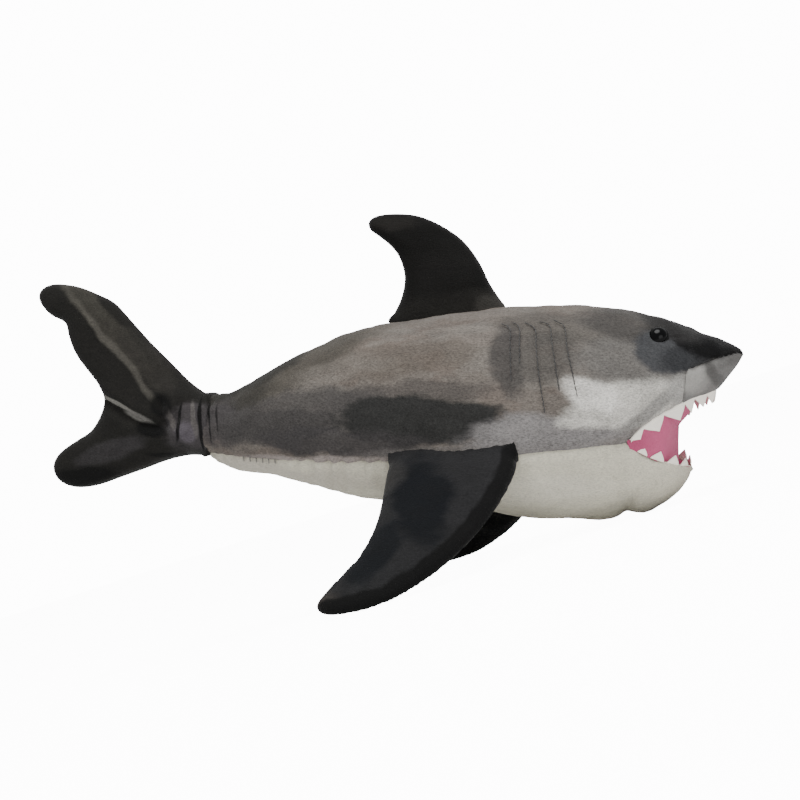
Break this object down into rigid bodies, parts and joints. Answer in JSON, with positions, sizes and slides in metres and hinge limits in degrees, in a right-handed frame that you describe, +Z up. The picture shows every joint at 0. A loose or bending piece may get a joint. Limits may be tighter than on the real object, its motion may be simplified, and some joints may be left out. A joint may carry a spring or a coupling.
{
  "type": "plush shark",
  "caption": "Stuffed plush shark with grey back, white belly, open toothed mouth, and bending jaw, fins and tail.",
  "frame": {"origin": "on the surface that the shark stands on, under the middle of its box", "axes": "+X towards the nose, +Y to the shark's left, +Z up; the body leans nose-down onto its belly and two pectoral tips"},
  "size_m": [0.595, 0.3186, 0.3401],
  "materials": {
    "grey_plush": "short-pile plush, printed warm grey with charcoal patches",
    "white_plush": "short-pile plush, cream white",
    "light_grey_plush": "short-pile plush, mid grey",
    "charcoal_plush": "short-pile plush, printed charcoal",
    "black_plush": "short-pile plush, near black",
    "pink_lining": "matt dusty-pink tricot",
    "white_felt": "matt off-white felt",
    "eye_plastic": "polished black",
    "washer_plastic": "matt natural polyethylene",
    "dark_thread": "twisted polyester thread",
    "stuffing": "loose polyester fibre"
  },
  "bodies": {
    "root": {"right_side_panel": "grey_plush", "left_side_panel": "grey_plush", "belly_panel": "white_plush", "snout_panel": "light_grey_plush", "body_stuffing": "stuffing", "upper_mouth_lining": "pink_lining", "upper_teeth": "white_felt", "eye_right": "eye_plastic", "eye_left": "eye_plastic", "eye_washer_right": "washer_plastic", "eye_washer_left": "washer_plastic", "gill_stitches_right": "dark_thread", "gill_stitches_left": "dark_thread", "closing_stitches": "dark_thread"},
    "jaw": {"lower_jaw_panel": "white_plush", "lower_mouth_lining": "pink_lining", "lower_teeth": "white_felt", "jaw_stuffing": "stuffing"},
    "dorsal_fin": {"dorsal_right_panel": "charcoal_plush", "dorsal_left_panel": "charcoal_plush", "dorsal_stuffing": "stuffing"},
    "right_fin": {"pectoral_upper_right": "charcoal_plush", "pectoral_lower_right": "black_plush", "pectoral_stuffing_right": "stuffing"},
    "left_fin": {"pectoral_upper_left": "charcoal_plush", "pectoral_lower_left": "black_plush", "pectoral_stuffing_left": "stuffing"},
    "tail": {"tail_right_panel": "charcoal_plush", "tail_left_panel": "charcoal_plush", "tail_stuffing": "stuffing", "lobe_right_panel": "charcoal_plush", "lobe_left_panel": "charcoal_plush", "lobe_stuffing": "stuffing"}
  },
  "joints": [
    {"name": "jaw_hinge", "type": "hinge", "parent": "root", "child": "jaw", "pos_m": [0.19557, 0, 0.05761], "axis": [0, 1, 0], "range_deg": [-25, 10], "stiffness_Nm_per_rad": 1},
    {"name": "tail_swing", "type": "hinge", "parent": "root", "child": "tail", "pos_m": [-0.16713, 0, 0.18567], "axis": [0.3182, 0, 0.948], "range_deg": [-35, 35], "stiffness_Nm_per_rad": 0.6},
    {"name": "dorsal_sway", "type": "hinge", "parent": "root", "child": "dorsal_fin", "pos_m": [0.08138, 0, 0.21236], "axis": [0.9812, 0, -0.1932], "range_deg": [-35, 35], "stiffness_Nm_per_rad": 0.4},
    {"name": "right_fin_flap", "type": "hinge", "parent": "root", "child": "right_fin", "pos_m": [0.05983, -0.08183, 0.07816], "axis": [-0.9672, 0.0801, 0.2413], "range_deg": [-20, 60], "stiffness_Nm_per_rad": 2, "springref_deg": -4.01},
    {"name": "left_fin_flap", "type": "hinge", "parent": "root", "child": "left_fin", "pos_m": [0.05983, 0.08183, 0.07816], "axis": [0.9672, 0.0801, -0.2413], "range_deg": [-20, 60], "stiffness_Nm_per_rad": 2, "springref_deg": -4.01}
  ]
}
